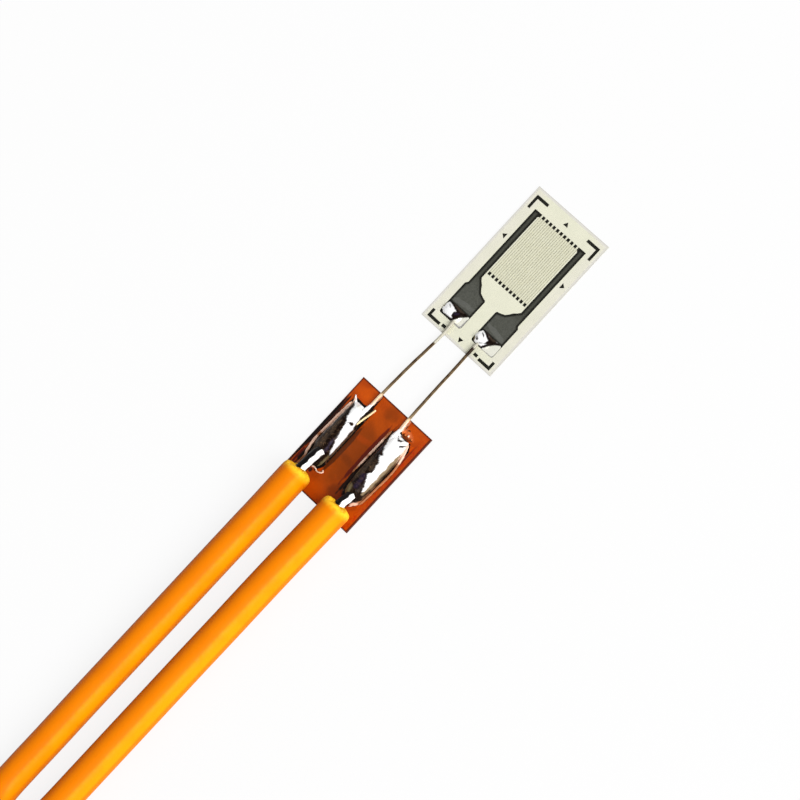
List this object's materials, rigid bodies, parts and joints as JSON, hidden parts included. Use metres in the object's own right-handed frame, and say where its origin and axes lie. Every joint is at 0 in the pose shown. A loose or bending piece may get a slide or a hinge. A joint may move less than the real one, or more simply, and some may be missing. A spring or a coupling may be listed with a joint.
{
  "type": "foil strain gauge",
  "caption": "Bonded foil strain gauge with fine copper leads soldered at a small terminal board to orange hook-up wires, whose spare length is tied in a hank.",
  "frame": {"origin": "under the middle of the measuring grid, on the face that is glued to the work", "axes": "+X along the sensing direction, away from the wires; +Z out of the glued face, towards the grid"},
  "size_m": [0.0656, 0.0136, 0.0054],
  "materials": {
    "film": "translucent polyimide film",
    "cover": "clear film, slightly milky",
    "foil": "etched constantan foil under film",
    "mark": "etched foil, dark",
    "solder": "bright tin solder with dull flux edges",
    "lead": "bare copper",
    "pad": "copper, tinned over",
    "board": "orange-brown polyimide sheet",
    "conductor": "tinned copper",
    "insulation": "smooth, soft shine",
    "tape": "flat waxed lacing tape"
  },
  "bodies": {
    "root": {"carrier_film": "film", "cover_film": "cover", "foil_grid": "foil", "corner_mark_1": "mark", "corner_mark_2": "mark", "corner_mark_3": "mark", "corner_mark_4": "mark", "centre_mark_1": "mark", "centre_mark_2": "mark", "centre_mark_3": "mark", "centre_mark_4": "mark", "lead_mark_1": "mark", "lead_mark_2": "mark", "tab_solder_1": "solder", "tab_solder_2": "solder", "gauge_lead_1": "lead", "gauge_lead_2": "lead", "terminal_board": "board", "terminal_pad_1": "pad", "terminal_pad_2": "pad", "joint_solder_1": "solder", "joint_solder_2": "solder", "stray_strand": "lead", "conductor_1": "conductor", "conductor_2": "conductor", "wire_1": "insulation", "wire_2": "insulation", "wire_hank": "insulation", "hank_tie": "tape", "wire_tail_1": "insulation", "wire_tail_2": "insulation", "wire_tip_1": "conductor", "wire_tip_2": "conductor"}
  },
  "joints": []
}
